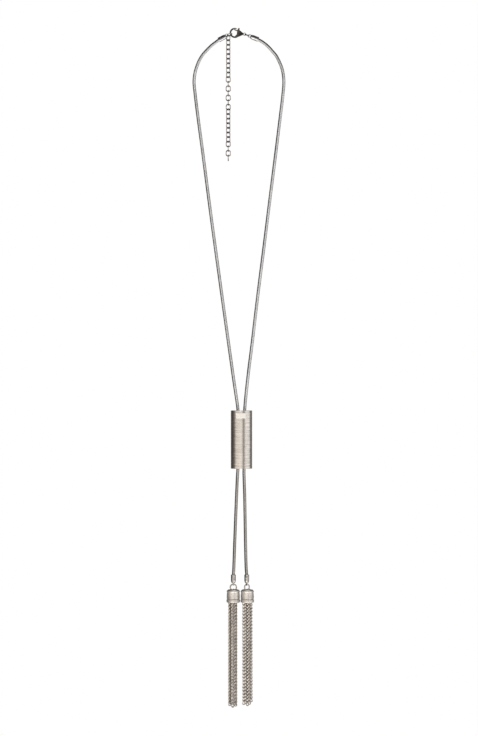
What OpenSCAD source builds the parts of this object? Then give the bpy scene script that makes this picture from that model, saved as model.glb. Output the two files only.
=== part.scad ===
// Tassel necklace: two snake chains run from a lobster clasp down through a
// ribbed slider tube, and each ends in a tassel of fine chains.
// It hangs in the XZ plane, +Z up, and its front faces -Y. The origin is just
// under the clasp, where the loop rests on a neck or a peg.

/* [Snake chain] */
// Diameter of the round snake chain
chain_d = 2; // [1.8:0.1:2.1]
// Sides of the chain's outline
chain_sides = 8; // [8:1:12]
// Rings between two points of the chain's route
chain_steps = 2; // [1:1:3]

/* [End caps] */
// Outer diameter of an end cap's cup
cup_d = 3.1; // [2.8:0.1:3.4]
// Length of an end cap from its loop to its mouth
cup_len = 5; // [4.6:0.1:5.4]
// Radial gap between the chain and the cup
cup_gap = 0.12; // [0.1:0.01:0.2]
// Radius of an end cap's loop, at the middle of its wire
loop_r = 1; // [0.9:0.05:1.1]
// Wire diameter of an end cap's loop
loop_wire = 0.5; // [0.4:0.05:0.6]

/* [Clasp] */
// Radius of the clasp's hook, at the middle of its wire
hook_r = 2.75; // [2.6:0.05:2.9]
// Wire diameter of the hook
hook_wire = 1.1; // [1:0.05:1.2]
// Distance from the hook's centre to the eye's centre
eye_x = 6.55; // [6.4:0.05:6.8]
// Thickness of the clasp's body, front to back
clasp_t = 2.4; // [2.2:0.1:2.8]
// How far the clasp's eye end tilts down, in degrees
clasp_tilt = 7.7; // [5:0.1:10]
// Thickness of the lever, front to back
lever_t = 0.9; // [0.8:0.05:1]

/* [Extender] */
// Number of oval links in the extender
link_count = 27; // [20:1:27]
// Radius of a link's round ends, at the middle of its wire
link_r = 1.38; // [1.3:0.01:1.4]
// Length of a link, from the middle of its wire at one end to the other
link_len = 3.74; // [3.6:0.01:3.8]
// Wire diameter of a link
link_wire = 0.62; // [0.5:0.01:0.65]
// Radius of the ring that the clasp hooks into
extender_ring_r = 1.6; // [1.6:0.05:1.75]
// Wire diameter of that ring
ring_wire = 0.5; // [0.4:0.05:0.5]
// Gap where two links bear on each other
link_gap = 0.12; // [0.1:0.01:0.2]

/* [Slider tube] */
// Diameter of the tube over its ribs
tube_d = 13.9; // [13:0.1:15]
// Length of the tube
tube_len = 37.8; // [36:0.1:38]
// Number of ribs along the tube
rib_count = 38; // [20:1:40]
// Depth of the grooves between the ribs
rib_depth = 0.2; // [0.1:0.05:0.3]
// Wall thickness of the tube
tube_wall = 0.7; // [0.5:0.1:1]
// Diameter of the holes that the chains run through
tube_hole_d = 2.7; // [2.6:0.1:3]
// Width of the plate on the tube's front
plate_w = 6.5; // [5:0.1:8]
// Height of the plate
plate_h = 3.5; // [3:0.1:5]

/* [Tassels] */
// Radius of the rings above the tassels, at the middle of the wire
drop_ring_r = 2; // [1.9:0.05:2]
// Wire diameter of the rings above the tassels
drop_ring_wire = 0.8; // [0.6:0.05:0.8]
// Diameter of a tassel's cap
cap_d = 8.5; // [8.3:0.1:8.6]
// Diameter of the lip at the cap's mouth
lip_d = 8.8; // [8.7:0.1:8.9]
// Height of a tassel's cap
cap_h = 8.5; // [8.4:0.1:9]
// Wall thickness of the cap
cap_wall = 0.55; // [0.5:0.05:0.6]
// Radius of the eye on the cap, at the middle of its wire
eye_r = 1.25; // [1.2:0.05:1.3]
// Wire diameter of the eye
eye_wire = 0.6; // [0.5:0.05:0.6]
// Number of fine chains in a tassel, one of them in the middle
strand_count = 7; // [5:1:7]

/* [Hidden] */
$fn = 48;

// Colours of the dark plated metal
dark_silver = [0.55, 0.53, 0.51];
silver = [0.72, 0.70, 0.68];
pale_silver = [0.88, 0.87, 0.85];
gunmetal = [0.32, 0.31, 0.31];

// Routes of the two chains, from the clasp to the tassels, as [x, z]
left_route = [
    [-12.45, -0.7], [-14.8, -2], [-16.9, -3.55], [-20.2, -6.2], [-26, -12.7],
    [-29.5, -20.5], [-30.85, -28.3], [-30.25, -36.1], [-28.35, -51.7], [-25.2, -75.1],
    [-21.15, -106.3], [-16.95, -137.5], [-12.65, -168.7], [-8.3, -199.9], [-5, -223.3],
    [-2.7, -238.9], [-2.3, -243.5], [-2.3, -262], [-2.35, -280.2], [-2.7, -286.3],
    [-3.55, -305.8], [-4.45, -329.2], [-5, -344.8], [-5.25, -349.4], [-5.3, -352]
];
right_route = [
    [8.5, -0.7], [10.9, -1.7], [14, -3.5], [17.2, -6.1], [20.2, -9.4],
    [22.85, -12.7], [26.3, -20.5], [27.5, -28.3], [27.05, -36.1], [25.2, -51.7],
    [22.3, -75.1], [18.35, -106.3], [14.45, -137.5], [10.5, -168.7], [6.8, -199.9],
    [4.8, -215.5], [3.05, -231.1], [2.3, -238.9], [2.05, -243.5], [1.8, -262],
    [1.65, -280.2], [1.6, -284], [2.05, -298], [2.4, -317.5], [2.6, -329.2],
    [3, -344.8], [3.35, -349.4], [3.4, -352]
];

// The clasp's hook is centred here, and its lever turns on this pin
hook_centre = [-4.45, 0, 2.67];
pin_at = [2.2, 1.35];
pin_r = 0.3;
pin_gap = 0.06;
eye_hole_r = 0.62;
eye_rim_r = 1;
eye_half_t = 0.38;
slot_gap = 0.1;

// Where the extender's ring bears on the hook, and how far the ring leans back
bear_angle = 199;
ring_lean = 25;

// Slope of the end caps at the neck, and the span of the ring at the clasp
neck_slope_left = 29;
neck_slope_right = 22;
clasp_ring_slope = 20;
clasp_ring_span = 3.5;
clasp_ring_wire = 0.6;

// The tube's top, and the middle of each hole in its two ends
tube_top = -242.7;
tube_end_t = 0.8;
top_holes = [-2.35, 2.05];
bottom_holes = [-2.3, 1.7];
plate_top = -244.3;
plate_x = -0.3;
plate_proud = 0.35;
plate_seat_gap = 0.1;

// Middle of each drop cap's loop, each ring and each tassel
drop_loop_z = -355.47;
left_x = [-5.3, -5.3, -5.35];
right_x = [3.4, 3.55, 3.75];
// Turn of each drop cap's loop, each ring and each eye
left_yaw = [90, 0, 55];
right_yaw = [110, 40, 110];
cap_gap = 0.2;
well_h = 1.2;

// Offset and turn of each bundle in its cap, and the pitch and ends of its chains
fringe_z = -362.2;
fringe_shift = [-0.35, 0.1];
fringe_turn = [30, 0];
strand_pitch = [2.2, 2.35];
strand_d = 2.1;
left_ends = [-436, -435.4, -435, -434.8, -435.3, -435.1, -435.5];
right_ends = [-435, -433.8, -433.4, -434.2, -433.6, -433.9, -433.5];

function dist(p, i) = norm(p[i + 1] - p[i]);

// Direction of the route at its point i
function slope(p, i) =
    let (last = len(p) - 1)
    i == 0 ? (p[1] - p[0]) / dist(p, 0)
    : i == last ? (p[last] - p[last - 1]) / dist(p, last - 1)
    : (p[i + 1] - p[i - 1]) / (dist(p, i - 1) + dist(p, i));

// Point of the smooth route at share t of the stretch from point i
function on_route(p, i, t) =
    let (h = dist(p, i))
    (2 * t ^ 3 - 3 * t ^ 2 + 1) * p[i]
    + (t ^ 3 - 2 * t ^ 2 + t) * h * slope(p, i)
    + (3 * t ^ 2 - 2 * t ^ 3) * p[i + 1]
    + (t ^ 3 - t ^ 2) * h * slope(p, i + 1);

function smooth_route(p) = concat(
    [for (i = [0 : len(p) - 2], k = [0 : chain_steps - 1]) on_route(p, i, k / chain_steps)],
    [p[len(p) - 1]]
);

// Corners of the chain's outline round the route's point i
function outline_at(p, i) =
    let (along = slope(p, i), u = along / norm(along))
    [for (k = [0 : chain_sides - 1])
        let (a = 360 * (k + 0.5) / chain_sides, side = chain_d / 2 * cos(a))
        [p[i][0] - u[1] * side, chain_d / 2 * sin(a), p[i][1] + u[0] * side]];

// A tube that follows the route
module sweep_chain(route) {
    path = smooth_route(route);
    last = len(path) - 1;
    corners = [for (i = [0 : last]) each outline_at(path, i)];
    walls = [for (i = [0 : last - 1], k = [0 : chain_sides - 1])
        let (next = (k + 1) % chain_sides, a = i * chain_sides, b = a + chain_sides)
        [a + k, b + k, b + next, a + next]];
    start = [for (k = [0 : chain_sides - 1]) k];
    end = [for (k = [chain_sides - 1 : -1 : 0]) last * chain_sides + k];
    polyhedron(corners, concat([start], walls, [end]), convexity = 10);
}

// A round ring of wire, its axis along Z
module wire_ring(r, wire) {
    rotate_extrude() translate([r, 0]) circle(d = wire);
}

// The same ring standing up, its plane turned by yaw from the front
module standing_ring(r, wire, yaw) {
    rotate([0, 0, yaw]) rotate([90, 0, 0]) wire_ring(r, wire);
}

// A cup that holds a chain's end: its loop is at the origin and its mouth up +Z
module end_cap(yaw) {
    mouth = loop_r + cup_len;
    r = cup_d / 2;
    bore_r = chain_d / 2 + cup_gap;
    bore_depth = 3.1;
    rim_r = r + 0.1;
    rim_h = 0.4;
    dome_z = 0.45;
    dome_h = 1.15;
    standing_ring(loop_r, loop_wire, yaw);
    rotate_extrude() polygon([
        [0, dome_z], [r - 0.6, dome_z], [r - 0.25, dome_z + 0.4], [r, dome_z + dome_h],
        [r, mouth - rim_h], [rim_r, mouth - rim_h], [rim_r, mouth],
        [bore_r, mouth], [bore_r, mouth - bore_depth], [0, mouth - bore_depth]
    ]);
}

// Places along the clasp: from the hook's wire, through the ring, to the left cap
inward = -[cos(bear_angle), 0, sin(bear_angle)];
ring_reach = hook_r - hook_wire / 2 - ring_wire / 2 - link_gap;
ring_end = hook_centre - ring_reach * inward;
ring_centre = ring_end - extender_ring_r * inward;
ring_far_end = ring_end - 2 * extender_ring_r * inward;
left_cap_at = ring_far_end + (ring_wire / 2 + loop_wire / 2 + link_gap - loop_r) * inward;
right_dir = [cos(clasp_ring_slope), 0, -sin(clasp_ring_slope)];
clasp_eye = hook_centre + eye_x * [cos(clasp_tilt), 0, -sin(clasp_tilt)];
right_cap_at = clasp_eye + clasp_ring_span * right_dir;

// The extender hangs from the ring's lowest point
lean = [0, cos(ring_lean), -sin(ring_lean)];
low_turn = atan2(-lean[2], inward[2]);
low_point = ring_centre + extender_ring_r * (-cos(low_turn) * inward + sin(low_turn) * lean);
link_pitch = link_len - link_wire - link_gap;
first_link = low_point + [0, 0, (ring_wire + link_wire - link_len) / 2 + link_gap];

// Links in turn stand this far to either side, and square on where the chain is twisted
link_yaw = 37;
twist = [[0, 0], [8, 0], [10, 1], [14, 1], [16, 0], [22, 0], [24, 1], [27, 1]];

// Heights down a tassel
drop_ring_z = drop_loop_z - loop_r + loop_wire / 2 + drop_ring_wire / 2 + link_gap - drop_ring_r;
ring_bottom_z = drop_ring_z - drop_ring_r;
eye_z = ring_bottom_z + drop_ring_wire / 2 + eye_wire / 2 + link_gap - eye_r;
cap_top_z = ring_bottom_z - drop_ring_wire / 2 - cap_gap + well_h;

module snake_chain_left() {
    color(dark_silver) sweep_chain(left_route);
}

module snake_chain_right() {
    color(dark_silver) sweep_chain(right_route);
}

// Half outline of the ribbed tube, from its bottom to its top
function rib_outline() = [
    for (k = [0 : rib_count - 1])
        let (pitch = tube_len / rib_count, z = k * pitch, r = tube_d / 2)
        each [[r - rib_depth, z], [r, z + 0.25 * pitch], [r, z + 0.75 * pitch]]
];

module slider_tube() {
    inside_r = tube_d / 2 - tube_wall;
    color(silver) translate([0, 0, tube_top - tube_len]) difference() {
        rotate_extrude() polygon(concat(
            [[0, 0]], rib_outline(), [[tube_d / 2 - rib_depth, tube_len], [0, tube_len]]
        ));
        translate([0, 0, tube_end_t]) cylinder(r = inside_r, h = tube_len - 2 * tube_end_t);
        for (x = top_holes)
            translate([x, 0, tube_len / 2]) cylinder(d = tube_hole_d, h = tube_len);
        for (x = bottom_holes)
            translate([x, 0, -tube_len / 2]) cylinder(d = tube_hole_d, h = tube_len);
    }
}

// A bare plate with a flat front and a back that fits the tube
module slider_plate() {
    depth = 2;
    color(pale_silver) difference() {
        translate([plate_x - plate_w / 2, -tube_d / 2 - plate_proud, plate_top - plate_h])
            cube([plate_w, depth, plate_h]);
        translate([0, 0, plate_top - 2 * plate_h])
            cylinder(r = tube_d / 2 + plate_seat_gap, h = 3 * plate_h);
    }
}

module end_cap_neck_left() {
    color(silver) translate(left_cap_at) rotate([0, -90 - neck_slope_left, 0]) end_cap(0);
}

module end_cap_neck_right() {
    color(silver) translate(right_cap_at) rotate([0, 90 + neck_slope_right, 0]) end_cap(0);
}

module end_cap_drop_left() {
    color(silver) translate([left_x[0], 0, drop_loop_z]) end_cap(left_yaw[0]);
}

module end_cap_drop_right() {
    color(silver) translate([right_x[0], 0, drop_loop_z]) end_cap(right_yaw[0]);
}

// Puts a shape drawn as [along, up] into the clasp, centred front to back
module clasp_plan(thick) {
    rotate([90, 0, 0]) translate([0, 0, -thick / 2]) linear_extrude(thick) children();
}

// Front outline of the clasp's solid part, from the hook's root to the eye
module clasp_outline() {
    wire_edge = hook_r + hook_wire / 2;
    skin = 0.06;
    tangent = 60;
    neck = [5.6, 0.55];
    opening_at = [-0.4, -0.25];
    opening_r = 1.9;
    hook_side = [[-4, -4], [0.6, -4], [0.6, -1.5], [1.6, 1], [1.7, 4], [-4, 4]];
    difference() {
        union() {
            circle(r = wire_edge + skin);
            polygon([
                wire_edge * [cos(tangent), sin(tangent)], neck,
                [neck[0], -neck[1]], wire_edge * [cos(tangent), -sin(tangent)]
            ]);
            translate([eye_x, 0]) circle(r = eye_rim_r);
        }
        translate(opening_at) circle(r = opening_r);
        polygon(hook_side);
        translate([eye_x, 0]) circle(r = eye_hole_r);
    }
}

// Space in the body for the lever, its thumb tab and its swing
module lever_slot() {
    polygon([[0.4, -0.9], [1.9, 0.3], [3.2, 0.3], [3.2, 4], [0.4, 4]]);
}

module in_clasp() {
    translate(hook_centre) rotate([0, clasp_tilt, 0]) children();
}

// Bent wire in the clasp, from one angle on to the next
module hook_arc(r, wire, from, to) {
    rotate([90, 0, 0]) rotate([0, 0, from])
        rotate_extrude(angle = to - from) translate([r, 0]) circle(d = wire);
}

// Rounded end of such a wire, a little fuller than the wire
module wire_end(r, wire, at) {
    bulge = 0.08;
    translate(r * [cos(at), 0, sin(at)]) rotate([0, 180 - at, 0]) sphere(d = wire + bulge);
}

// The hook grows thin toward its tip, which the lever closes against
module clasp_body() {
    hook_root = -65;
    hook_end = 122;
    thin_tip = 78;
    thin_start = 128;
    thin_r = 2.93;
    thin_wire = 0.68;
    half = clasp_t / 2;
    shoulder_x = 3.2;
    neck_x = 5.8;
    end_x = 8;
    tall = 10;
    color(gunmetal) in_clasp() {
        difference() {
            intersection() {
                clasp_plan(clasp_t) clasp_outline();
                translate([0, 0, -tall / 2]) linear_extrude(tall) polygon([
                    [0, -half], [shoulder_x, -half], [neck_x, -eye_half_t], [end_x, -eye_half_t],
                    [end_x, eye_half_t], [neck_x, eye_half_t], [shoulder_x, half], [0, half]
                ]);
            }
            clasp_plan(lever_t + 2 * slot_gap) lever_slot();
        }
        hook_arc(hook_r, hook_wire, hook_end, 360 + hook_root);
        wire_end(hook_r, hook_wire, hook_end);
        hook_arc(thin_r, thin_wire, thin_tip, thin_start);
        wire_end(thin_r, thin_wire, thin_tip);
        translate([pin_at[0], half, pin_at[1]]) rotate([90, 0, 0]) cylinder(r = pin_r, h = clasp_t);
    }
}

module clasp_lever() {
    tip = [-0.35, 2.08];
    hub_r = 0.8;
    half_bar = 0.38;
    tab_t = 0.7;
    color(silver) in_clasp() difference() {
        union() {
            clasp_plan(lever_t) {
                translate(pin_at) circle(r = hub_r);
                translate(tip) circle(r = half_bar);
                polygon([
                    tip + [0, half_bar], tip - [0, half_bar],
                    pin_at - [0, half_bar], pin_at + [0, half_bar]
                ]);
            }
            clasp_plan(tab_t) polygon([
                [1.45, 1.5], [1.5, 2.3], [1.95, 3.3], [2.35, 3.6],
                [2.75, 3.6], [2.95, 2.2], [2.8, 1.4]
            ]);
        }
        clasp_plan(clasp_t) translate(pin_at) circle(r = pin_r + pin_gap);
    }
}

// The ring lies on the eye's line, seen edge-on from the front
module clasp_ring() {
    at_eye = eye_hole_r - clasp_ring_wire / 2 - link_gap;
    at_cap = loop_r - loop_wire / 2 - clasp_ring_wire / 2 - link_gap;
    r = (clasp_ring_span - at_eye - at_cap) / 2;
    color(silver) translate(clasp_eye + (at_eye + r) * right_dir)
        rotate([0, clasp_ring_slope, 0]) wire_ring(r, clasp_ring_wire);
}

module extender_ring() {
    slope_down = atan2(inward[2], inward[0]);
    color(silver) translate(ring_centre) rotate([0, -slope_down, 0])
        rotate([-ring_lean, 0, 0]) wire_ring(extender_ring_r, ring_wire);
}

// A standing oval of wire: two round ends and two straight sides
module oval_link(yaw) {
    straight = link_len - 2 * link_r;
    for (end = [0, 180]) rotate([0, end, yaw]) {
        translate([0, 0, straight / 2]) rotate([90, 0, 0])
            rotate_extrude(angle = 180) translate([link_r, 0]) circle(d = link_wire);
        translate([link_r, 0, -straight / 2]) cylinder(d = link_wire, h = straight);
    }
}

module extender_chain() {
    color(silver) for (i = [0 : link_count - 1]) {
        square_on = i % 2 == 0 ? -90 : 0;
        side = i % 2 == 0 ? -link_yaw : link_yaw;
        translate(first_link - [0, 0, i * link_pitch])
            oval_link(side + (square_on - side) * lookup(i, twist));
    }
}

module drop_ring_left() {
    color(silver) translate([left_x[1], 0, drop_ring_z])
        standing_ring(drop_ring_r, drop_ring_wire, left_yaw[1]);
}

module drop_ring_right() {
    color(silver) translate([right_x[1], 0, drop_ring_z])
        standing_ring(drop_ring_r, drop_ring_wire, right_yaw[1]);
}

// A bell cap: a well on top with the eye in it, a bead, a groove and a lip
module tassel_cap(x, yaw) {
    r = cap_d / 2;
    lip_r = lip_d / 2;
    inner_r = r - cap_wall;
    well_r = 2.8;
    rim_r = 3.4;
    floor_t = 0.6;
    bead = 0.1;
    bead_z = -1;
    bead_h = 0.4;
    lip_h = 2.3;
    groove = 0.3;
    color(silver) translate([x, 0, cap_top_z]) {
        rotate_extrude() polygon([
            [0, -well_h], [well_r, -well_h], [well_r + bead, 0], [rim_r, 0],
            [r - 0.15, bead_z + 0.25], [r + bead, bead_z], [r + bead, bead_z - bead_h],
            [r, bead_z - bead_h - 2 * bead], [r, lip_h + groove - cap_h],
            [r - groove, lip_h + groove / 2 - cap_h], [r - groove, lip_h - groove / 2 - cap_h],
            [lip_r, lip_h - groove - cap_h], [lip_r, 0.5 - cap_h], [r - 0.2, -cap_h],
            [inner_r, -cap_h], [inner_r, -well_h - 2 * floor_t],
            [inner_r - floor_t, -well_h - floor_t], [0, -well_h - floor_t]
        ]);
        translate([0, 0, eye_z - cap_top_z]) standing_ring(eye_r, eye_wire, yaw);
    }
}

module tassel_cap_left() {
    tassel_cap(left_x[2], left_yaw[2]);
}

module tassel_cap_right() {
    tassel_cap(right_x[2], right_yaw[2]);
}

// Chains side by side, each of its own length, on a round head inside the cap
module fringe(x, turn, pitch, ends) {
    head_r = 3.1;
    head_h = 1.6;
    color(dark_silver) translate([x, 0, 0]) {
        translate([0, 0, fringe_z - head_h]) cylinder(r = head_r, h = head_h);
        for (k = [0 : strand_count - 1]) {
            out = k == 0 ? 0 : pitch;
            angle = turn + 360 * k / (strand_count - 1);
            translate([out * cos(angle), out * sin(angle), ends[k]])
                cylinder(d = strand_d, h = fringe_z - head_h / 2 - ends[k]);
        }
    }
}

module tassel_fringe_left() {
    fringe(left_x[2] + fringe_shift[0], fringe_turn[0], strand_pitch[0], left_ends);
}

module tassel_fringe_right() {
    fringe(right_x[2] + fringe_shift[1], fringe_turn[1], strand_pitch[1], right_ends);
}

snake_chain_left();
snake_chain_right();
slider_tube();
slider_plate();
end_cap_neck_left();
end_cap_neck_right();
end_cap_drop_left();
end_cap_drop_right();
clasp_body();
clasp_lever();
clasp_ring();
extender_ring();
extender_chain();
drop_ring_left();
drop_ring_right();
tassel_cap_left();
tassel_cap_right();
tassel_fringe_left();
tassel_fringe_right();
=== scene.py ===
"""Looks of the tassel necklace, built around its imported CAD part."""

import math

import bmesh
import bpy
import numpy as np
from mathutils.geometry import tessellate_polygon
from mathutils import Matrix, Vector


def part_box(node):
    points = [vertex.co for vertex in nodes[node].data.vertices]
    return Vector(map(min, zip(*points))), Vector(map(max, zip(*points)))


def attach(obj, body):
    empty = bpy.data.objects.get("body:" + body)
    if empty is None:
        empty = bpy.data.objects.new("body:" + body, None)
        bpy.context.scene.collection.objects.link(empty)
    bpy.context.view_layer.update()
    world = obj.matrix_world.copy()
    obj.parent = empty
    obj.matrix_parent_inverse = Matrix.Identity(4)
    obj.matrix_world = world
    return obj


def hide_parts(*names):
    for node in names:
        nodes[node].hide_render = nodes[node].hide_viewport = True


# A millimetre of the part's source, in the scene's metres
MM = 0.001

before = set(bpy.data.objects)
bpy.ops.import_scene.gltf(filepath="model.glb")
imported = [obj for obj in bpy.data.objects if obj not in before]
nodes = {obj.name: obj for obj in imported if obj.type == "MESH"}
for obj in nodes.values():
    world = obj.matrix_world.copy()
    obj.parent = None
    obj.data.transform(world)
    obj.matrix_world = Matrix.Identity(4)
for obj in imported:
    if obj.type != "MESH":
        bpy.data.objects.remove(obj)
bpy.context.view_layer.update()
scene = bpy.context.scene


# Materials

def link(tree, source, target):
    tree.links.new(source, target)


def noise_node(tree, coord, scale, detail, stretch=(1, 1, 1)):
    mapping = tree.nodes.new("ShaderNodeMapping")
    mapping.inputs["Scale"].default_value = stretch
    link(tree, coord, mapping.inputs["Vector"])
    noise = tree.nodes.new("ShaderNodeTexNoise")
    noise.inputs["Scale"].default_value = scale
    noise.inputs["Detail"].default_value = detail
    link(tree, mapping.outputs["Vector"], noise.inputs["Vector"])
    return noise.outputs["Fac"]


def map_range(tree, value, low, high, to_low, to_high):
    node = tree.nodes.new("ShaderNodeMapRange")
    node.inputs["From Min"].default_value = low
    node.inputs["From Max"].default_value = high
    node.inputs["To Min"].default_value = to_low
    node.inputs["To Max"].default_value = to_high
    link(tree, value, node.inputs["Value"])
    return node.outputs["Result"]


def mix_colour(tree, factor, first, second, blend="MIX"):
    node = tree.nodes.new("ShaderNodeMix")
    node.data_type = "RGBA"
    node.blend_type = blend
    sockets = (node.inputs["Factor"], node.inputs[6], node.inputs[7])
    for socket, value in zip(sockets, (factor, first, second)):
        if isinstance(value, bpy.types.NodeSocket):
            link(tree, value, socket)
        elif isinstance(value, (int, float)):
            socket.default_value = value
        else:
            socket.default_value = (*value, 1)
    return node.outputs[2]


def multiplied(tree, colour, share):
    return mix_colour(tree, 1.0, colour, share, "MULTIPLY")


def math_node(tree, operation, first, second):
    node = tree.nodes.new("ShaderNodeMath")
    node.operation = operation
    for socket, value in zip(node.inputs, (first, second)):
        if isinstance(value, (int, float)):
            socket.default_value = value
        else:
            link(tree, value, socket)
    return node.outputs["Value"]


def colour_ramp(tree, value, stops):
    node = tree.nodes.new("ShaderNodeValToRGB")
    ramp = node.color_ramp
    ramp.interpolation = "EASE"
    while len(ramp.elements) < len(stops):
        ramp.elements.new(1.0)
    for element, (place, colour) in zip(ramp.elements, stops):
        element.position = place
        element.color = (*(colour if isinstance(colour, tuple) else 3 * (colour,)), 1)
    link(tree, value, node.inputs["Fac"])
    return node.outputs["Color"]


# The middle part of a noise texture's values, which the patches and streaks span
NOISE_SPAN = (0.3, 0.7)
# What the fine streaks multiply: the tone, and the roughness
STREAK_TONE = (0.86, 1.1)
STREAK_ROUGHNESS = (0.7, 1.4)
# Depth of the fine streaks' relief, in millimetres
RELIEF = 0.004
# Upward part of the normal where an underside, kept bright as painted highlight, turns into a
# side
UNDERSIDE = (-0.9, -0.35)
# Upward part of the normal where the painted shade on the upper side begins, and the tone it
# keeps
TOPSIDE = (-0.35, 0.12)
TOPSIDE_SHARE = 0.16
# Height over which that painted shade on the upper side fades in, in millimetres
TOPSIDE_FADE = 14
# Distance from a joint at which its painted shade ends, in millimetres
JOINT_FADE = (0.4, 0.8)


def plated_metal(name, light, dark, rough, patch_mm=2.0, streaks=(1, 1, 1), streak_mm=0.3,
                 recess_shade=(0.1, 0.09, 0.08), recess_mm=0.5, open_ao=(0.25, 0.85), side_shade=None,
                 topside_shade_above=None, metallic=1, tones=None, joints=None, shaded=False):
    """Plated metal: patches of two tones, fine streaks in tone, gloss and relief, painted shade
    in recesses.

    The surface has its own tone where its openness is over the upper value of open_ao, and less
    open places take the recess_shade colour as painted shade. With side_shade, (tilt, low, high,
    share), the sides get painted shade and keep that share of their tone, while the front, tilted
    to the right by tilt degrees, the back and the underside stay bright as painted highlight.
    Above topside_shade_above it is the upper side that gets the painted shade. With tones, pairs
    of (height, share), the tone follows the height. With joints, (height, pitch, share), the
    metal has painted shade round that height and at each pitch from it. Heights are in
    millimetres. With shaded, the mesh's own "shade" attribute multiplies the tone: painted shade
    at the ends of the fringe's links, on each chain's last link and on its head, and a random
    tone from link to link.
    """
    material = bpy.data.materials.new(name)
    material.use_nodes = True
    tree = material.node_tree
    shader = tree.nodes["Principled BSDF"]
    shader.inputs["Metallic"].default_value = metallic
    coord = tree.nodes.new("ShaderNodeTexCoord").outputs["Object"]
    place = tree.nodes.new("ShaderNodeSeparateXYZ")
    link(tree, coord, place.inputs["Vector"])
    height = place.outputs["Z"]
    patches = noise_node(tree, coord, 1 / (patch_mm * MM), 3)
    fine = noise_node(tree, coord, 1 / (streak_mm * MM), 2, streaks)
    tone = map_range(tree, patches, *NOISE_SPAN, 0, 1)
    colour = mix_colour(tree, tone, dark, light)
    colour = multiplied(tree, colour, map_range(tree, fine, *NOISE_SPAN, *STREAK_TONE))
    # Painted shade on the sides, painted highlight on the front, back and underside
    if side_shade:
        tilt, low, high, share = side_shade
        tilt = math.radians(tilt)
        normal = tree.nodes.new("ShaderNodeTexCoord").outputs["Normal"]
        facing = tree.nodes.new("ShaderNodeVectorMath")
        facing.operation = "DOT_PRODUCT"
        link(tree, normal, facing.inputs[0])
        facing.inputs[1].default_value = (math.sin(tilt), -math.cos(tilt), 0)
        upright = tree.nodes.new("ShaderNodeSeparateXYZ")
        link(tree, normal, upright.inputs["Vector"])
        underside = map_range(tree, upright.outputs["Z"], *UNDERSIDE, 1, 0)
        frontness = math_node(tree, "ABSOLUTE", facing.outputs["Value"], 0)
        frontness = math_node(tree, "ADD", frontness, underside)
        painted_side_shade = map_range(tree, frontness, low, high, share, 1)
        # Above that height the painted shade falls on the upper side
        if topside_shade_above is not None:
            fade_from = (topside_shade_above - TOPSIDE_FADE) * MM
            above = map_range(tree, height, fade_from, topside_shade_above * MM, 0, 1)
            topside = map_range(tree, upright.outputs["Z"], *TOPSIDE, 1, TOPSIDE_SHARE)
            painted_side_shade = mix_colour(tree, above, painted_side_shade, topside)
        colour = multiplied(tree, colour, painted_side_shade)
    if tones:
        bottom, top = tones[0][0], tones[-1][0]
        along = map_range(tree, height, bottom * MM, top * MM, 0, 1)
        stops = [((z - bottom) / (top - bottom), share) for z, share in tones]
        colour = multiplied(tree, colour, colour_ramp(tree, along, stops))
    # Painted shade round each joint
    if joints:
        first, pitch, share = joints
        apart = math_node(tree, "SUBTRACT", height, first * MM)
        apart = math_node(tree, "PINGPONG", apart, pitch / 2 * MM)
        near, far = JOINT_FADE
        colour = multiplied(tree, colour, map_range(tree, apart, near * MM, far * MM, share, 1))
    # Painted shade carried by the mesh
    if shaded:
        shade = tree.nodes.new("ShaderNodeAttribute")
        shade.attribute_name = "shade"
        colour = multiplied(tree, colour, shade.outputs["Fac"])
    # Painted shade where the surface is less open
    hollow = tree.nodes.new("ShaderNodeAmbientOcclusion")
    hollow.samples = 4
    hollow.inputs["Distance"].default_value = recess_mm * MM
    open_share = map_range(tree, hollow.outputs["AO"], *open_ao, 0, 1)
    colour = mix_colour(tree, open_share, recess_shade, colour)
    link(tree, colour, shader.inputs["Base Color"])
    gloss = map_range(tree, fine, *NOISE_SPAN, *(rough * share for share in STREAK_ROUGHNESS))
    link(tree, gloss, shader.inputs["Roughness"])
    bump = tree.nodes.new("ShaderNodeBump")
    bump.inputs["Strength"].default_value = 1
    bump.inputs["Distance"].default_value = RELIEF * MM
    link(tree, fine, bump.inputs["Height"])
    link(tree, bump.outputs["Normal"], shader.inputs["Normal"])
    return material


# Painted shade on the chains' sides and, near the clasp, on their upper side; darker near the top
# as painted shade where the chains arc, and darker and warmer below the tube
snake_metal = plated_metal(
    "snake_plate", (0.87, 0.89, 0.93), (0.71, 0.73, 0.765), 0.14, patch_mm=5, streak_mm=0.8,
    recess_shade=(0.3, 0.29, 0.28), recess_mm=0.1, side_shade=(12, 0.8, 0.96, 0.1), topside_shade_above=-10,
    tones=((-292, (0.62, 0.58, 0.54)), (-262, 1), (-25, 1), (-10, 0.85)))
# Painted shade in the grooves between the ribs
tube_metal = plated_metal(
    "tube_plate", (0.705, 0.678, 0.65), (0.62, 0.593, 0.562), 0.14, patch_mm=6,
    streaks=(0.12, 0.12, 2.2), streak_mm=0.7, recess_shade=(0.40, 0.37, 0.34), recess_mm=0.15)
# Painted shade on the plate's bevelled edges
plate_metal = plated_metal(
    "plate_plate", (1.0, 0.99, 0.98), (0.97, 0.96, 0.94), 0.1, patch_mm=3,
    recess_shade=(0.4, 0.38, 0.36), side_shade=(0, 0.5, 0.8, 0.45))
findings_metal = plated_metal(
    "findings_plate", (0.58, 0.54, 0.52), (0.36, 0.33, 0.31), 0.16, patch_mm=1.6)
dark_ring_metal = plated_metal(
    "dark_ring_plate", (0.24, 0.22, 0.215), (0.08, 0.075, 0.07), 0.16, patch_mm=1.2)
# Painted shade on the cups' sides
cup_metal = plated_metal(
    "cup_plate", (0.92, 0.91, 0.89), (0.20, 0.19, 0.18), 0.1, patch_mm=1.1,
    side_shade=(12, 0.6, 0.98, 0.16))
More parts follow.
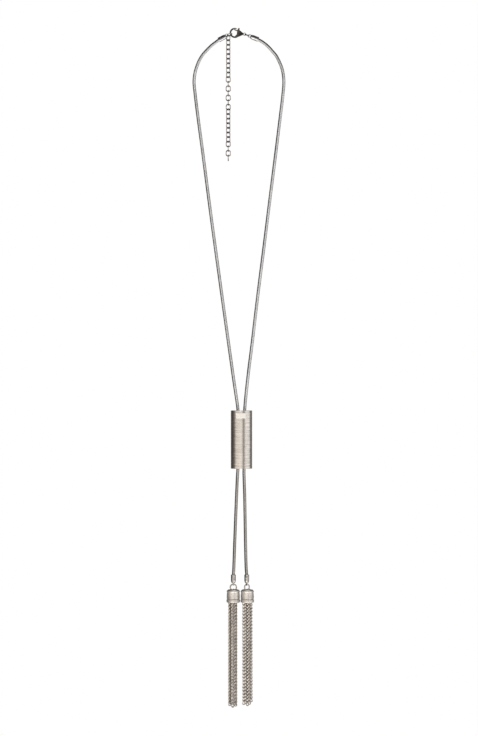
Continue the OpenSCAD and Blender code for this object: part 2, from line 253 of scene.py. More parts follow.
# Painted shade on the cups' sides and, near the clasp, on their upper side
neck_cup_metal = plated_metal(
    "neck_cup_plate", (0.86, 0.89, 0.94), (0.42, 0.43, 0.45), 0.12, patch_mm=1.6,
    side_shade=(12, 0.6, 0.98, 0.2), topside_shade_above=-8)
clasp_metal = plated_metal(
    "clasp_gunmetal", (0.085, 0.08, 0.076), (0.034, 0.031, 0.029), 0.2, patch_mm=1.5,
    recess_shade=(0.03, 0.028, 0.025))
lever_metal = plated_metal(
    "lever_plate", (0.17, 0.135, 0.11), (0.08, 0.065, 0.055), 0.2, patch_mm=1.0)
EXTENDER_TONES = ((0.60, 0.57, 0.54), (0.42, 0.39, 0.36))
# Painted shade in the extender's hollows, where its wires cross
EXTENDER_RECESS_SHADE = (0.02, 0.018, 0.016)
extender_metal = plated_metal(
    "extender_plate", *EXTENDER_TONES, 0.18, recess_shade=EXTENDER_RECESS_SHADE, recess_mm=1.3,
    open_ao=(0.7, 0.97))
# Painted shade on the caps' flanks and in their grooves, and a painted highlight that makes the
# upper part lighter than the lower
cap_metal = plated_metal(
    "cap_plate", (0.94, 0.92, 0.89), (0.80, 0.765, 0.73), 0.34, patch_mm=2.2,
    streaks=(1, 1, 0.15), streak_mm=1.1, recess_shade=(0.4, 0.37, 0.34), recess_mm=0.3,
    side_shade=(4, 0.88, 0.99, 0.74), metallic=0.7, tones=((-364.5, 0.86), (-362.5, 1)))
# The mesh's shade attribute gives painted shade at the links' ends, on the last links and on the
# heads; the recess colour is painted shade between the chains
fringe_metal = plated_metal(
    "fringe_plate", (0.84, 0.79, 0.73), (0.66, 0.605, 0.55), 0.42, patch_mm=4, shaded=True,
    recess_shade=(0.12, 0.106, 0.095), recess_mm=1.2, open_ao=(0.27, 0.75), metallic=0.6)


# Mesh building, in millimetres

def add_piece(name, verts, faces, material, body, replaced=None, sharp=40, shade=None):
    mesh = bpy.data.meshes.new(name)
    mesh.from_pydata((np.asarray(verts, float) * MM).tolist(), [], faces)
    if shade is not None:
        mesh.attributes.new("shade", "FLOAT", "POINT").data.foreach_set("value", shade)
    mesh.validate()
    mesh.shade_smooth()
    mesh.set_sharp_from_angle(angle=math.radians(sharp))
    mesh.materials.append(material)
    piece = bpy.data.objects.new(name, mesh)
    scene.collection.objects.link(piece)
    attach(piece, body)
    if replaced:
        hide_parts(replaced)
    return piece


class Builder:
    """Collects the vertices and faces of one piece."""

    def __init__(self):
        self.verts = []
        self.faces = []
        self.count = 0

    def add(self, verts, faces):
        start = self.count
        self.verts.append(np.asarray(verts, float))
        self.faces.extend([tuple(int(v) + start for v in face) for face in faces])
        self.count += len(verts)

    def result(self):
        return np.concatenate(self.verts), self.faces


def ring_faces(rings, sides, closed_rings=False):
    """Quads between successive rings of the same number of sides."""
    faces = []
    for i in range(rings if closed_rings else rings - 1):
        a = i * sides
        b = (i + 1) % rings * sides
        for k in range(sides):
            n = (k + 1) % sides
            faces.append((a + k, a + n, b + n, b + k))
    return faces


def turn_x(points, degrees):
    """Turns points about the X axis, as the part's own rotations do."""
    a = math.radians(degrees)
    c, s = math.cos(a), math.sin(a)
    x, y, z = points.T
    return np.stack([x, c * y - s * z, s * y + c * z], 1)


def turn_y(points, degrees):
    a = math.radians(degrees)
    c, s = math.cos(a), math.sin(a)
    x, y, z = points.T
    return np.stack([c * x + s * z, y, c * z - s * x], 1)


def turn_z(points, degrees):
    a = math.radians(degrees)
    c, s = math.cos(a), math.sin(a)
    x, y, z = points.T
    return np.stack([c * x - s * y, s * x + c * y, z], 1)


def standing(points, yaw):
    """Stands a ring up, its plane turned by yaw from the front."""
    x, y, z = points.T
    return turn_z(np.stack([x, -z, y], 1), yaw)


def circle_angles(count):
    return np.arange(count) / count * 2 * math.pi


# The longest share of an outline's side that a rounded corner takes
CORNER_SHARE = 0.45


def round_corners(points, radius, steps=4):
    """The closed outline with each corner drawn as a small curve; a corner on the axis stays."""
    points = [np.array(p, float) for p in points]
    out = []
    for i, corner in enumerate(points):
        before, after = points[i - 1], points[(i + 1) % len(points)]
        if corner[0] <= 0:
            out.append(corner)
            continue
        back, on = before - corner, after - corner
        back_len, on_len = np.linalg.norm(back), np.linalg.norm(on)
        start = corner + back / back_len * min(radius, CORNER_SHARE * back_len)
        end = corner + on / on_len * min(radius, CORNER_SHARE * on_len)
        for k in range(steps + 1):
            t = k / steps
            out.append((1 - t) ** 2 * start + 2 * t * (1 - t) * corner + t ** 2 * end)
    return np.array(out)


def lathe(outline, sides):
    """A turned solid from a closed outline of (radius, height) whose ends may lie on the axis."""
    outline = np.asarray(outline, float)
    angle = circle_angles(sides)
    verts = []
    index = []
    for r, z in outline:
        if r <= 0:
            index.append([len(verts)] * sides)
            verts.append((0, 0, z))
        else:
            index.append(list(range(len(verts), len(verts) + sides)))
            verts.extend(zip(r * np.cos(angle), r * np.sin(angle), [z] * sides))
    faces = []
    for i in range(len(outline)):
        a, b = index[i], index[(i + 1) % len(outline)]
        if a[0] == a[1] and b[0] == b[1]:
            continue
        for k in range(sides):
            n = (k + 1) % sides
            face = [a[k], a[n], b[n], b[k]]
            face = [v for j, v in enumerate(face) if v not in face[:j]]
            faces.append(tuple(face))
    return np.array(verts), faces


# Width of the slit where a jump ring's wire ends meet, in millimetres
SLIT = 0.05


def wire_loop(radius, wire, around, sides, slit_at=None):
    """A ring of wire, its axis along Z, cut through at slit_at, if that is given, in degrees."""
    closed = slit_at is None
    if closed:
        turns = circle_angles(around)
    else:
        half = SLIT / radius / 2
        turns = math.radians(slit_at) + np.linspace(half, 2 * math.pi - half, around)
    angle = circle_angles(sides)
    out = radius + wire / 2 * np.cos(angle)[None, :]
    x = out * np.cos(turns)[:, None]
    y = out * np.sin(turns)[:, None]
    z = np.broadcast_to(wire / 2 * np.sin(angle)[None, :], x.shape)
    verts = np.stack([x, y, z], -1).reshape(-1, 3)
    faces = ring_faces(around, sides, closed)
    if not closed:
        faces.append(tuple(range(sides - 1, -1, -1)))
        faces.append(tuple(range((around - 1) * sides, around * sides)))
    return verts, faces


# Snake chains

# Their routes from the clasp to the tassels, as [x, z]
LEFT_ROUTE = [
    [-12.45, -0.7], [-14.8, -2], [-16.9, -3.55], [-20.2, -6.2], [-26, -12.7],
    [-29.5, -20.5], [-30.85, -28.3], [-30.25, -36.1], [-28.35, -51.7], [-25.2, -75.1],
    [-21.15, -106.3], [-16.95, -137.5], [-12.65, -168.7], [-8.3, -199.9], [-5, -223.3],
    [-2.7, -238.9], [-2.3, -243.5], [-2.3, -262], [-2.35, -280.2], [-2.7, -286.3],
    [-3.55, -305.8], [-4.45, -329.2], [-5, -344.8], [-5.25, -349.4], [-5.3, -352],
]
RIGHT_ROUTE = [
    [8.5, -0.7], [10.9, -1.7], [14, -3.5], [17.2, -6.1], [20.2, -9.4],
    [22.85, -12.7], [26.3, -20.5], [27.5, -28.3], [27.05, -36.1], [25.2, -51.7],
    [22.3, -75.1], [18.35, -106.3], [14.45, -137.5], [10.5, -168.7], [6.8, -199.9],
    [4.8, -215.5], [3.05, -231.1], [2.3, -238.9], [2.05, -243.5], [1.8, -262],
    [1.65, -280.2], [1.6, -284], [2.05, -298], [2.4, -317.5], [2.6, -329.2],
    [3, -344.8], [3.35, -349.4], [3.4, -352],
]


def smooth_route(route, steps=40):
    """A smooth curve through the route's points, with this many steps from one to the next."""
    p = np.array(route, float)
    gap = np.linalg.norm(np.diff(p, axis=0), axis=1)
    slope = np.empty_like(p)
    slope[0] = (p[1] - p[0]) / gap[0]
    slope[-1] = (p[-1] - p[-2]) / gap[-1]
    slope[1:-1] = (p[2:] - p[:-2]) / (gap[:-1] + gap[1:])[:, None]
    out = []
    for i, h in enumerate(gap):
        t = np.arange(steps)[:, None] / steps
        out.append((2 * t ** 3 - 3 * t ** 2 + 1) * p[i] + (t ** 3 - 2 * t ** 2 + t) * h * slope[i]
                   + (3 * t ** 2 - 2 * t ** 3) * p[i + 1] + (t ** 3 - t ** 2) * h * slope[i + 1])
    return np.concatenate(out + [p[-1:]])


CHAIN_R = 1.0
CHAIN_SIDES = 24
# Length of a band, and the chain's outline over it: shares of its length and of the radius
BAND = 0.62
BAND_PROFILE = [(0.0, 0.95), (0.08, 0.99), (0.5, 1.0), (0.92, 0.988)]
# How far a band's edge waves along the chain, and its waves round it
BAND_WAVE = 0.17
WAVES = 4
# The wave fades out over this length at the chain's ends
WAVE_FADE = 1.0
# The chain's direction at a place is taken this far to either side of it
DIRECTION_STEP = 0.3


def snake_chain(route, turn):
    """Wavy rings nested along the route: each band rises to its edge and drops to a groove.

    The waves turn by this much round the chain on each millimetre of it.
    """
    path = smooth_route(route)
    along = np.concatenate([[0], np.cumsum(np.linalg.norm(np.diff(path, axis=0), axis=1))])
    length = along[-1]
    bands = int(length / BAND)
    pitch = length / bands
    s = np.array([(i + share) * pitch for i in range(bands) for share, _ in BAND_PROFILE])
    r = np.array([size * CHAIN_R for i in range(bands) for _, size in BAND_PROFILE])
    angle = circle_angles(CHAIN_SIDES)
    wave = BAND_WAVE * np.cos(WAVES * angle[None, :] + turn * s[:, None])
    fade = np.clip(np.minimum(s, length - s) / WAVE_FADE, 0, 1)[:, None]
    at = np.clip(s[:, None] + wave * fade, 0, length)
    x = np.interp(at, along, path[:, 0])
    z = np.interp(at, along, path[:, 1])
    dx, dz = (np.interp(at + DIRECTION_STEP, along, path[:, axis])
              - np.interp(at - DIRECTION_STEP, along, path[:, axis]) for axis in (0, 1))
    size = np.hypot(dx, dz)
    dx, dz = dx / size, dz / size
    side = r[:, None] * np.cos(angle)[None, :]
    front = r[:, None] * np.sin(angle)[None, :]
    verts = np.stack([x - dz * side, front, z + dx * side], -1).reshape(-1, 3)
    faces = ring_faces(len(s), CHAIN_SIDES)
    faces.append(tuple(range(CHAIN_SIDES)))
    faces.append(tuple(range(len(verts) - 1, len(verts) - CHAIN_SIDES - 1, -1)))
    return verts, faces


for side, route, turn in (("left", LEFT_ROUTE, 0.11), ("right", RIGHT_ROUTE, -0.09)):
    verts, faces = snake_chain(route, turn)
    add_piece("snake_links_" + side, verts, faces, snake_metal, "strands",
              "snake_chain_" + side, sharp=50)


# Slider tube and its plate

TUBE_TOP = -242.7
TUBE_BOTTOM = -280.5
TUBE_R = 6.95
TUBE_INNER_R = 6.25
TUBE_SIDES = 128
# The tube's edge is drawn in by this much, over this height
TUBE_EDGE = (0.1, 0.06)
RIBS = 38
RIB_DEPTH = 0.08
# A rib's outline over its height: shares of its pitch and of its groove's depth
RIB_PROFILE = ((0, 1), (0.08, 0.4), (0.2, 0.08), (0.5, 0), (0.8, 0.08), (0.92, 0.4))
# How much the ribs differ in lean and in depth
RIB_LEAN = 0.004
RIB_SPREAD = 0.02
END_T = 0.8
HOLE_R = 1.35
HOLE_SIDES = 40
TOP_HOLES = (-2.35, 2.05)
BOTTOM_HOLES = (-2.3, 1.7)


def tube_wall_outline():
    """Outside of the tube from its bottom up: rounded ribs, each leaning a little its own way."""
    rng = np.random.default_rng(11)
    pitch = (TUBE_TOP - TUBE_BOTTOM) / RIBS
    outline = []
    for k in range(RIBS):
        z = TUBE_BOTTOM + k * pitch
        tilt = rng.uniform(-RIB_LEAN, RIB_LEAN)
        depth = RIB_DEPTH + rng.uniform(-RIB_SPREAD, RIB_SPREAD)
        for share, low in RIB_PROFILE:
            lean = tilt * (share - 0.5) * 2 if share else 0
            outline.append((TUBE_R - low * depth + lean, z + share * pitch))
    outline.append((TUBE_R - RIB_DEPTH, TUBE_TOP))
    return outline


def circle_points(x, r, z, count):
    angle = circle_angles(count)
    return np.stack([x + r * np.cos(angle), r * np.sin(angle), np.full(count, z)], 1)


def tube_rings(outline):
    return np.concatenate([circle_points(0, r, z, TUBE_SIDES) for r, z in outline])


def tube_end(builder, rim_r, z, inner_z, holes, up):
    """An end of the tube: a disc with two holes, their walls and the disc's inner face."""
    for level, r, facing in ((z, rim_r, up), (inner_z, TUBE_INNER_R, -up)):
        loops = [circle_points(0, r, level, TUBE_SIDES)]
        loops += [circle_points(x, HOLE_R, level, HOLE_SIDES) for x in holes]
        faces = tessellate_polygon([loop.tolist() for loop in loops])
        builder.add(np.concatenate(loops), [tuple(face)[::facing] for face in faces])
    for x in holes:
        rings = [circle_points(x, HOLE_R, level, HOLE_SIDES) for level in (z, inner_z)]
        builder.add(np.concatenate(rings), ring_faces(2, HOLE_SIDES))


tube = Builder()
wall = np.array(tube_wall_outline())
edge_in, edge_h = TUBE_EDGE
rim_r = wall[0][0] - edge_in
wall[0][1] += edge_h
wall[-1][1] -= edge_h
verts = tube_rings([(rim_r, TUBE_BOTTOM), *wall, (rim_r, TUBE_TOP)])
tube.add(verts, ring_faces(len(verts) // TUBE_SIDES, TUBE_SIDES))
tube_end(tube, rim_r, TUBE_TOP, TUBE_TOP - END_T, TOP_HOLES, 1)
tube_end(tube, rim_r, TUBE_BOTTOM, TUBE_BOTTOM + END_T, BOTTOM_HOLES, -1)
inner = tube_rings([(TUBE_INNER_R, TUBE_TOP - END_T), (TUBE_INNER_R, TUBE_BOTTOM + END_T)])
tube.add(inner, ring_faces(2, TUBE_SIDES))
verts, faces = tube.result()
add_piece("ribbed_tube", verts, faces, tube_metal, "strands", "slider_tube",
          sharp=60)


# Points of a CAD mesh nearer than this are one, in metres
JOIN_DISTANCE = 1e-6


def cleaned_copy(node):
    """A copy of a CAD node's mesh with its split corners joined again."""
    mesh = nodes[node].data.copy()
    shape = bmesh.new()
    shape.from_mesh(mesh)
    bmesh.ops.remove_doubles(shape, verts=shape.verts, dist=JOIN_DISTANCE)
    bmesh.ops.recalc_face_normals(shape, faces=shape.faces)
    shape.to_mesh(mesh)
    shape.free()
    return mesh


def from_cad(name, node, material, body, modifiers):
    """A new piece in a CAD node's form, softened by modifiers that are then applied."""
    piece = bpy.data.objects.new(name, cleaned_copy(node))
    scene.collection.objects.link(piece)
    for kind, settings in modifiers:
        modifier = piece.modifiers.new(kind.lower(), kind)
        for key, value in settings.items():
            setattr(modifier, key, value)
    bpy.context.view_layer.update()
    depsgraph = bpy.context.evaluated_depsgraph_get()
    done = bpy.data.meshes.new_from_object(piece.evaluated_get(depsgraph))
    piece.modifiers.clear()
    piece.data = done
    done.materials.clear()
    done.materials.append(material)
    done.shade_smooth()
    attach(piece, body)
    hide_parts(node)
    return piece


plate = from_cad("bare_plate", "slider_plate", plate_metal, "strands",
                 [("BEVEL", {"width": 0.3 * MM, "segments": 5, "limit_method": "ANGLE",
                             "angle_limit": math.radians(35)})])
# The plate's large faces stay flat, and its bevels are shaded smooth
LARGE_FACE = 0.8 * MM ** 2
shape = bmesh.new()
shape.from_mesh(plate.data)
for edge in shape.edges:
    edge.smooth = max(face.calc_area() for face in edge.link_faces) < LARGE_FACE
shape.to_mesh(plate.data)
shape.free()


# Clasp

def softening(voxel_mm, passes):
    """Modifiers that round off every corner a little."""
    return [("REMESH", {"mode": "VOXEL", "voxel_size": voxel_mm * MM}),
            ("SMOOTH", {"factor": 0.5, "iterations": passes})]


from_cad("cast_clasp", "clasp_body", clasp_metal, "strands", softening(0.075, 6))
from_cad("cast_lever", "clasp_lever", lever_metal, "lever", softening(0.05, 4))


# End caps and the places of the pieces round the clasp

# Gap where two wires bear on each other
GAP = 0.12
# Each ring's or loop's radius at the middle of its wire, and that wire's diameter
HOOK_R, HOOK_WIRE = 2.75, 1.1
LOOP_R, LOOP_WIRE = 1.0, 0.5
EXTENDER_RING_R, EXTENDER_RING_WIRE = 1.6, 0.5
DROP_RING_R, DROP_RING_WIRE = 2.0, 0.8
CLASP_RING_WIRE = 0.6
CLASP_EYE_HOLE_R = 0.62
# From the clasp's eye to the right cap's loop, in length and in degrees down
CLASP_RING_SPAN, CLASP_RING_SLOPE = 3.5, 20
# From the hook's centre to the clasp's eye, in length and in degrees down
EYE_X, CLASP_TILT = 6.55, 7.7
HOOK_CENTRE = (-4.45, 0, 2.67)
# Where the extender's ring bears on the hook, and how far that ring leans back
BEAR_ANGLE = 199
RING_LEAN = 25
# How far the cups at the neck slope down, away from the clasp
NECK_SLOPE = {"left": 29, "right": 22}
DROP_LOOP_Z = -355.47
DROP_LOOP_X = {"left": -5.3, "right": 3.4}

# Half outline of a cup, from its domed end up to the mouth and down its bore
CUP = [(0, 0.45), (0.9, 0.45), (1.25, 0.95), (1.5, 1.8), (1.55, 2.6), (1.55, 5.6), (1.65, 5.6),
       (1.65, 6.0), (1.12, 6.0), (1.12, 2.9), (0, 2.9)]


def slope_down(degrees):
    """The direction to the right and down by this angle."""
    a = math.radians(degrees)
    return np.array([math.cos(a), 0, -math.sin(a)])


def end_cap(yaw):
    builder = Builder()
    builder.add(*lathe(round_corners(CUP, 0.18), 48))
    verts, faces = wire_loop(LOOP_R, LOOP_WIRE, 48, 14)
    builder.add(standing(verts, yaw), faces)
    return builder.result()


hook_centre = np.array(HOOK_CENTRE)
inward = -slope_down(-BEAR_ANGLE)
ring_reach = HOOK_R - HOOK_WIRE / 2 - EXTENDER_RING_WIRE / 2 - GAP
ring_end = hook_centre - ring_reach * inward
ring_centre = ring_end - EXTENDER_RING_R * inward
cap_reach = 2 * EXTENDER_RING_R - EXTENDER_RING_WIRE / 2 - LOOP_WIRE / 2 - GAP + LOOP_R
left_cap_at = ring_end - cap_reach * inward
clasp_eye = hook_centre + EYE_X * slope_down(CLASP_TILT)
right_cap_at = clasp_eye + CLASP_RING_SPAN * slope_down(CLASP_RING_SLOPE)

for name, place, turn, yaw, material in (
        ("neck_left", left_cap_at, -90 - NECK_SLOPE["left"], 0, neck_cup_metal),
        ("neck_right", right_cap_at, 90 + NECK_SLOPE["right"], 0, neck_cup_metal),
        ("drop_left", (DROP_LOOP_X["left"], 0, DROP_LOOP_Z), 0, 90, cup_metal),
        ("drop_right", (DROP_LOOP_X["right"], 0, DROP_LOOP_Z), 0, 110, cup_metal)):
    verts, faces = end_cap(yaw)
    add_piece("cord_end_" + name, turn_y(verts, turn) + np.array(place), faces, material,
              "strands", "end_cap_" + name, sharp=60)


# Rings and extender

def box_centre(node):
    low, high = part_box(node)
    return (np.array(low) + np.array(high)) / 2 / MM


def ring_piece(name, node, radius, wire, place, material, body, slit_at):
    verts, faces = wire_loop(radius, wire, 72, 16, slit_at)
    add_piece(name, place(verts) + box_centre(node), faces, material, body, node, sharp=60)


at_eye = CLASP_EYE_HOLE_R - CLASP_RING_WIRE / 2 - GAP
at_cap = LOOP_R - LOOP_WIRE / 2 - CLASP_RING_WIRE / 2 - GAP
ring_piece("split_ring_clasp", "clasp_ring", (CLASP_RING_SPAN - at_eye - at_cap) / 2,
           CLASP_RING_WIRE, lambda p: turn_y(p, CLASP_RING_SLOPE),
           dark_ring_metal, "strands", 75)
down = math.degrees(math.atan2(inward[2], inward[0]))
ring_piece("split_ring_extender", "extender_ring", EXTENDER_RING_R, EXTENDER_RING_WIRE,
           lambda p: turn_y(turn_x(p, -RING_LEAN), -down),
           extender_metal, "strands", 120)
ring_piece("split_ring_left", "drop_ring_left", DROP_RING_R, DROP_RING_WIRE,
           lambda p: standing(p, 0), findings_metal, "ring_left", 35)
ring_piece("split_ring_right", "drop_ring_right", DROP_RING_R, DROP_RING_WIRE,
           lambda p: standing(p, 40), findings_metal, "ring_right", 150)

LINKS = 27
LINK_R = 1.38
LINK_LEN = 3.74
LINK_WIRE = 0.62
LINK_PITCH = 3.0
# Links in turn stand this far to either side, and square on where the chain is twisted
LINK_YAW = 37
TWIST = ([0, 8, 10, 14, 16, 22, 24, 27], [0, 0, 1, 1, 0, 0, 1, 1])
# Half the height at a link's waist over which its round ends are drawn apart
LINK_WAIST = 0.35

# The extender hangs from the ring's lowest point
lean = np.array([0, math.cos(math.radians(RING_LEAN)), -math.sin(math.radians(RING_LEAN))])
low_turn = math.atan2(-lean[2], inward[2])
to_low = -math.cos(low_turn) * inward + math.sin(low_turn) * lean
first_link = ring_centre + EXTENDER_RING_R * to_low
first_link[2] += (EXTENDER_RING_WIRE + LINK_WIRE - LINK_LEN) / 2 + GAP


def oval_link(slit_at):
    """A wire loop drawn out lengthwise into an oval, cut through on its long side."""
    verts, faces = wire_loop(LINK_R, LINK_WIRE, 56, 14, slit_at)
    half = LINK_LEN / 2 - LINK_R
    verts[:, 1] += half * np.clip(verts[:, 1] / LINK_WAIST, -1, 1)
    return verts, faces


extender = Builder()
for i in range(LINKS):
    side = LINK_YAW if i % 2 else -LINK_YAW
    square_on = 0 if i % 2 else -90
    yaw = side + (square_on - side) * np.interp(i, *TWIST)
    # The slit is near the middle of a long side, on the left of every third link
    verts, faces = oval_link((8 if i % 3 else 172) + 5 * (i % 4))
    extender.add(standing(verts, yaw) + first_link - np.array([0, 0, i * LINK_PITCH]), faces)
verts, faces = extender.result()
# Painted shade round each joint between links, and in the hollows
link_metal = plated_metal(
    "extender_link_plate", *EXTENDER_TONES, 0.18, recess_shade=EXTENDER_RECESS_SHADE, recess_mm=1.3,
    open_ao=(0.66, 0.97), joints=(first_link[2] - LINK_PITCH / 2, LINK_PITCH, 0.22))
add_piece("extender_links", verts, faces, link_metal, "strands",
          "extender_chain", sharp=60)


# Tassels

EYE_R, EYE_WIRE = 1.25, 0.6
# Depth of the well in a cap's top, and the gap between its floor and the ring
WELL_H = 1.2
CAP_GAP = 0.2
# The middle of a drop ring's wire, at the ring's lowest point
RING_BOTTOM = DROP_LOOP_Z - LOOP_R + LOOP_WIRE / 2 + DROP_RING_WIRE / 2 + GAP - 2 * DROP_RING_R
EYE_Z = RING_BOTTOM + DROP_RING_WIRE / 2 + EYE_WIRE / 2 + GAP - EYE_R
CAP_TOP = RING_BOTTOM - DROP_RING_WIRE / 2 - CAP_GAP + WELL_H
# Half outline of a cap: its well, its outside down to the lip, and its inside
CAP = [(0, -1.2), (2.8, -1.2), (2.9, 0), (3.4, 0), (4.1, -0.75), (4.35, -1), (4.35, -1.4),
       (4.02, -1.7), (4.21, -3.5), (4.25, -4.4), (4.25, -5.9), (3.95, -6.05), (3.95, -6.35),
       (4.4, -6.5), (4.4, -8), (4.05, -8.5), (3.7, -8.5), (3.7, -2.4), (3.1, -1.8), (0, -1.8)]


def tassel_cap(x, yaw):
    builder = Builder()
    verts, faces = lathe(round_corners(CAP, 0.4, 5), 96)
    builder.add(verts + np.array([x, 0, CAP_TOP]), faces)
    verts, faces = wire_loop(EYE_R, EYE_WIRE, 56, 16)
    builder.add(standing(verts, yaw) + np.array([x, 0, EYE_Z]), faces)
    return builder.result()


def curb_link(half_len, half_wide, twist, wire, around=26, sides=8):
    """One twisted link of curb chain, standing along Z, its broad side to the front."""
    t = circle_angles(around)
    line = np.stack([half_wide * np.cos(t), twist * np.sin(2 * t), half_len * np.sin(t)], 1)
    ahead = np.roll(line, -1, 0) - np.roll(line, 1, 0)
    ahead /= np.linalg.norm(ahead, axis=1)[:, None]
    out = line * [1, 0, 1]
    out -= ahead * np.sum(out * ahead, 1)[:, None]
    out /= np.linalg.norm(out, axis=1)[:, None]
    across = np.cross(ahead, out)
    angle = circle_angles(sides)
    verts = (line[:, None] + wire / 2 * (np.cos(angle)[None, :, None] * out[:, None]
                                         + np.sin(angle)[None, :, None] * across[:, None]))
    return verts.reshape(-1, 3), ring_faces(around, sides, True)


# Each tassel's curb link: its half width, twist and wire
CURB = {"left": (0.77, 0.46, 0.63), "right": (0.80, 0.50, 0.60)}
# The share of its tone that a link keeps at its ends, as painted shade where its neighbours meet
# it
END_SHADE = {"left": 0.6, "right": 0.58}
# How far the broad side of each of its chains turns, the middle chain first
FACES = {"left": (8, -20, 24, 52, 46, 50, -28), "right": (0, 40, -40, 46, 42, 52, 44)}
# Its chains' lowest points
ENDS = {"left": (-436, -435.4, -435, -434.8, -435.3, -435.1, -435.5),
        "right": (-435, -433.8, -433.4, -434.2, -433.6, -433.9, -433.5)}
FRINGE_TOP = -362.2
HEAD_R = 3.1
HEAD_H = 1.6
# Share of its tone that the head inside the cap keeps, as painted shade
HEAD_SHADE = 0.5
# A chain's last link is centred under the head's top by at least this much
LINK_UNDER = 1.2
# From one link's centre to the next, and how much longer a link is than bearing needs
LINK_STEP = 2.15
LINK_SLACK = 0.04
# These chains start half a link higher, so that neighbours interlock
RAISED = (1, 2, 6)
# Where the painted shade at a link's end begins and is full, as shares of half its length
END_SPAN = [0.4, 0.9]
# Spread of the tone from link to link
LINK_TONE = (0.84, 1.12)
# The share of its tone that a chain's last link keeps, as painted shade
LAST_SHADE = 0.7
# Most that a whole chain, its curl for each link and each link by itself turn, in degrees
CHAIN_TURN = 6
CHAIN_CURL = 0.3
LINK_TURN = 3


def fringe(side, x, pitch, turn, seed):
    """Fine curb chains side by side, each turned its own way, on a round head inside the cap."""
    rng = np.random.default_rng(seed)
    tone_rng = np.random.default_rng(seed + 100)
    half_wide, twist, wire = CURB[side]
    half_len = (LINK_STEP + wire + LINK_SLACK) / 2
    builder = Builder()
    shades = []
    head_bottom = FRINGE_TOP - HEAD_H
    head = [(0, FRINGE_TOP), (HEAD_R, FRINGE_TOP), (HEAD_R, head_bottom), (0, head_bottom)]
    verts, faces = lathe(round_corners(head, 0.2), 48)
    builder.add(verts + [x, 0, 0], faces)
    shades.append(np.full(len(verts), HEAD_SHADE))
    verts, faces = curb_link(half_len, half_wide, twist, wire)
    # Painted shade at both ends of each link
    shade = np.interp(np.abs(verts[:, 2]) / half_len, END_SPAN, [1, END_SHADE[side]])
    for k, (end, face_to) in enumerate(zip(ENDS[side], FACES[side])):
        out = 0 if k == 0 else pitch
        a = math.radians(turn + 60 * k)
        centre = np.array([x + out * math.cos(a), out * math.sin(a), 0])
        z = end + half_len + wire / 2 + (LINK_STEP / 2 if k in RAISED else 0)
        face_to += rng.uniform(-CHAIN_TURN, CHAIN_TURN)
        curl = rng.uniform(-CHAIN_CURL, CHAIN_CURL)
        lowest = z
        while z < FRINGE_TOP - LINK_UNDER:
            face_to += curl + rng.uniform(-LINK_TURN, LINK_TURN)
            builder.add(turn_z(verts, face_to) + centre + [0, 0, z], faces)
            keeps = LAST_SHADE if z == lowest else 1
            shades.append(shade * tone_rng.uniform(*LINK_TONE) * keeps)
            z += LINK_STEP
    return *builder.result(), np.concatenate(shades)


for side, x, yaw, shift, pitch, turn, seed in (
        ("left", -5.35, 55, -0.35, 2.2, 30, 3), ("right", 3.75, 110, 0.1, 2.35, 0, 8)):
    body = "tassel_" + side
    verts, faces = tassel_cap(x, yaw)
    add_piece("bell_cap_" + side, verts, faces, cap_metal, body,
              "tassel_cap_" + side, sharp=60)
    verts, faces, shade = fringe(side, x + shift, pitch, turn, seed)
    add_piece("curb_chains_" + side, verts, faces, fringe_metal, body,
              "tassel_fringe_" + side, shade=shade)


# Studio: a soft surround with a dark ceiling and a dark gap, a pale floor and the camera

# Colour of the surround by direction in degrees: 0 is toward the camera, 90 to its right
AROUND = [
    (-180, (0.90, 0.88, 0.86)), (-166, (0.30, 0.28, 0.26)), (-150, (0.10, 0.09, 0.08)),
    (-112, (0.07, 0.063, 0.056)), (-94, (0.14, 0.125, 0.11)), (-80, (0.28, 0.25, 0.22)),
    (-62, (0.78, 0.72, 0.65)), (-40, (0.84, 0.78, 0.71)), (-4, (0.90, 0.85, 0.79)),
    (8, (0.72, 0.68, 0.64)), (20, (0.30, 0.28, 0.26)), (30, (0.39, 0.37, 0.35)),
    (46, (0.86, 0.83, 0.80)), (62, (0.88, 0.86, 0.84)), (92, (0.84, 0.82, 0.80)),
    (104, (0.44, 0.42, 0.40)), (116, (0.17, 0.16, 0.15)), (150, (0.18, 0.17, 0.16)),
    (168, (0.35, 0.34, 0.33)), (180, (0.90, 0.88, 0.86)),
]
# What multiplies it by height, from 0 straight down to 1 straight up
HEIGHT = [(0, 2.2), (0.22, 2.0), (0.44, 1.09), (0.52, 1.09), (0.58, 1.8), (0.63, 1.8),
          (0.72, 0.25), (0.84, 0.05), (0.9, 0.4), (0.96, 1.4), (1, 1.8)]

world = bpy.data.worlds.new("studio")
scene.world = world
world.use_nodes = True
tree = world.node_tree
tree.nodes.clear()
split = tree.nodes.new("ShaderNodeSeparateXYZ")
link(tree, tree.nodes.new("ShaderNodeTexCoord").outputs["Generated"], split.inputs["Vector"])
to_camera = math_node(tree, "MULTIPLY", split.outputs["Y"], -1)
azimuth = math_node(tree, "ARCTAN2", split.outputs["X"], to_camera)
around = colour_ramp(tree, map_range(tree, azimuth, -math.pi, math.pi, 0, 1),
                     [((a + 180) / 360, c) for a, c in AROUND])
height = colour_ramp(tree, map_range(tree, split.outputs["Z"], -1, 1, 0, 1), HEIGHT)
surround = tree.nodes.new("ShaderNodeBackground")
link(tree, multiplied(tree, around, height), surround.inputs["Color"])
backdrop = tree.nodes.new("ShaderNodeBackground")
backdrop.inputs["Color"].default_value = (1, 1, 1, 1)
# The camera itself sees plain white behind the necklace
seen = tree.nodes.new("ShaderNodeMixShader")
link(tree, tree.nodes.new("ShaderNodeLightPath").outputs["Is Camera Ray"], seen.inputs["Fac"])
link(tree, surround.outputs["Background"], seen.inputs[1])
link(tree, backdrop.outputs["Background"], seen.inputs[2])
output = tree.nodes.new("ShaderNodeOutputWorld")
link(tree, seen.outputs["Shader"], output.inputs["Surface"])

FLOOR_Z = -520
FLOOR_R = 560
FLOOR_SIDES = 96
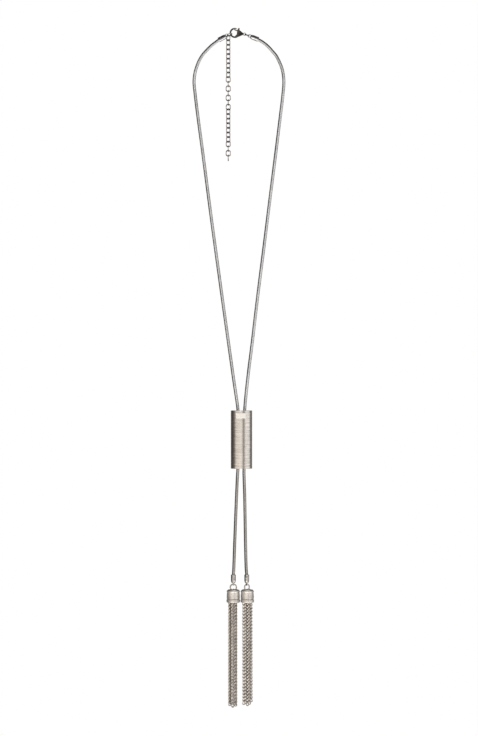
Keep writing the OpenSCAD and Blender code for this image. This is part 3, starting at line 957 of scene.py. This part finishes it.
# Distance from its middle over which the floor fades away, in metres
FLOOR_FADE = (0.28, 0.5)
verts = np.concatenate([[[0, 0, FLOOR_Z]], circle_points(0, FLOOR_R, FLOOR_Z, FLOOR_SIDES)])
faces = [(0, k + 1, (k + 1) % FLOOR_SIDES + 1) for k in range(FLOOR_SIDES)]
mesh = bpy.data.meshes.new("pale_floor")
mesh.from_pydata((verts * MM).tolist(), [], faces)
floor = bpy.data.objects.new("pale_floor", mesh)
scene.collection.objects.link(floor)
floor_paint = bpy.data.materials.new("pale_floor")
floor_paint.use_nodes = True
tree = floor_paint.node_tree
paint = tree.nodes["Principled BSDF"]
paint.inputs["Base Color"].default_value = (0.92, 0.92, 0.92, 1)
paint.inputs["Roughness"].default_value = 0.9
paint.inputs["Emission Color"].default_value = (1, 1, 1, 1)
paint.inputs["Emission Strength"].default_value = 0.55
distance = tree.nodes.new("ShaderNodeVectorMath")
distance.operation = "LENGTH"
link(tree, tree.nodes.new("ShaderNodeTexCoord").outputs["Object"], distance.inputs[0])
clear = tree.nodes.new("ShaderNodeBsdfTransparent")
blend = tree.nodes.new("ShaderNodeMixShader")
link(tree, map_range(tree, distance.outputs["Value"], *FLOOR_FADE, 0, 1), blend.inputs["Fac"])
link(tree, paint.outputs["BSDF"], blend.inputs[1])
link(tree, clear.outputs["BSDF"], blend.inputs[2])
link(tree, blend.outputs["Shader"], tree.nodes["Material Output"].inputs["Surface"])
mesh.materials.append(floor_paint)

# Height of the view at the necklace, the camera's distance and its sensor's height in millimetres
VIEW_HEIGHT = 0.4784
VIEW_DISTANCE = 2.0
SENSOR = 24
camera = bpy.data.objects.new("camera", bpy.data.cameras.new("camera"))
camera.data.sensor_fit = "VERTICAL"
camera.data.sensor_height = SENSOR
camera.data.lens = SENSOR * VIEW_DISTANCE / VIEW_HEIGHT
camera.location = (-0.001625, -VIEW_DISTANCE, -0.21515)
camera.rotation_euler = (math.radians(90), 0, 0)
scene.collection.objects.link(camera)
scene.camera = camera
scene.view_settings.view_transform = "Standard"
